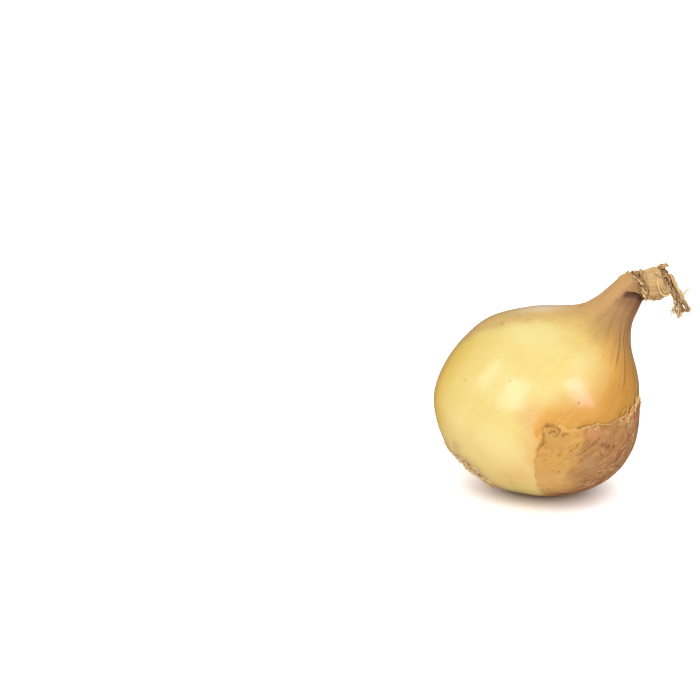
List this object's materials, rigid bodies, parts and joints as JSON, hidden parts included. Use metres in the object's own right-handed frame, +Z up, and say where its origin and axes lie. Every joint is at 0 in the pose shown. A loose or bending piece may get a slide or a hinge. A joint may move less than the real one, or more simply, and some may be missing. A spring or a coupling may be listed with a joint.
{
  "type": "onion bulb",
  "caption": "Dry-skinned onion bulb lying on its flank, with a pleated neck, a folded withered top, a torn scrap of brown outer skin and a tuft of dry roots",
  "frame": {"origin": "middle of the small flat under the belly that the onion rests on, on the surface that it lies on", "axes": "+Z up from the surface it rests on; +X horizontal, the way that the neck leans; +Y completes a right-handed frame"},
  "size_m": [0.0902, 0.0731, 0.083],
  "materials": {
    "golden_skin": "satin",
    "brown_papery_skin": "satin",
    "dry_leaf_sheath": "matte",
    "dry_roots": "matte"
  },
  "bodies": {
    "root": {"bulb": "golden_skin", "outer_skin_scrap": "brown_papery_skin", "withered_top": "dry_leaf_sheath", "root_tuft": "dry_roots"}
  },
  "joints": []
}
